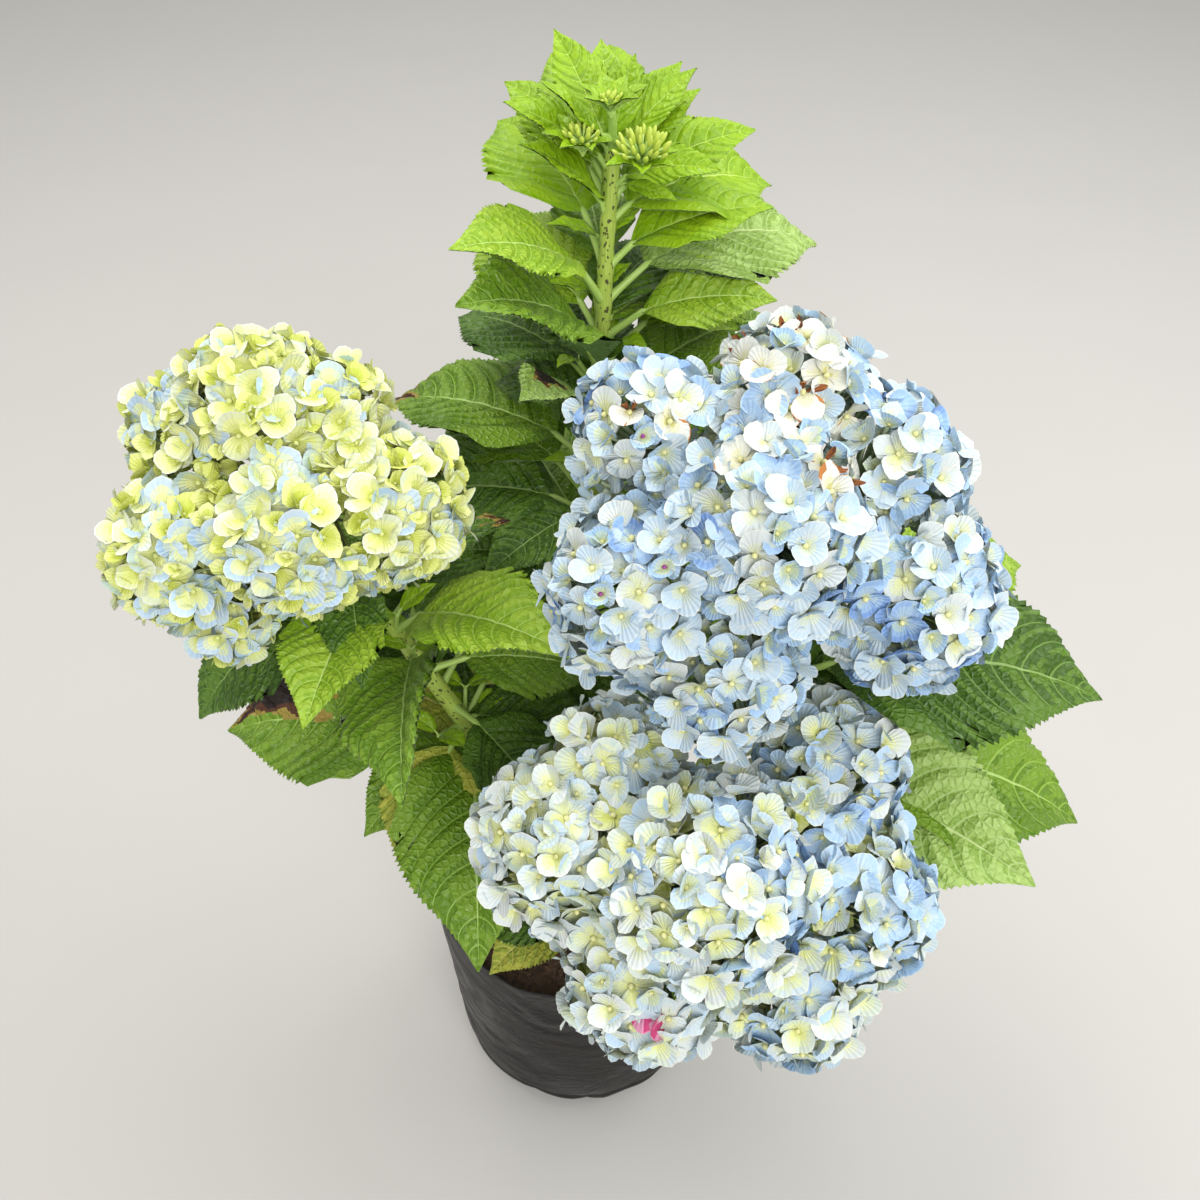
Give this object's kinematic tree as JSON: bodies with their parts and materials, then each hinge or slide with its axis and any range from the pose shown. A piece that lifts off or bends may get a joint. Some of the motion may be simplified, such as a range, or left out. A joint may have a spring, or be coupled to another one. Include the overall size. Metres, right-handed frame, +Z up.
{
  "type": "potted hydrangea shrub",
  "caption": "Mophead hydrangea shrub in a black nursery grow bag, with large round blue and cream flower heads, quilted toothed leaves and a taller leafy shoot in bud.",
  "frame": {"origin": "centre of the grow bag's flat underside", "axes": "+Z up along the plant, +X to the right and -Y toward the viewer of the flower heads"},
  "size_m": [0.54, 0.4354, 0.7243],
  "materials": {
    "bag_film": "dusty satin film, wrinkled",
    "soil": "moist fibrous potting mix",
    "bark": "thin flaking bark",
    "cane": "smooth green cane with dark specks",
    "leaf": "glossy quilted leaf",
    "floret": "soft petals, blue at the edge and cream at the heart",
    "bud": "young green buds"
  },
  "bodies": {
    "root": {"grow_bag": "bag_film", "potting_soil": "soil", "woody_crown": "bark", "left_cane": "cane", "right_cane": "cane", "front_cane": "cane", "leader_cane": "cane", "left_foliage": "leaf", "right_foliage": "leaf", "front_foliage": "leaf", "leader_foliage": "leaf", "left_bloom": "floret", "right_bloom": "floret", "front_bloom": "floret", "leader_buds": "bud"}
  },
  "joints": []
}
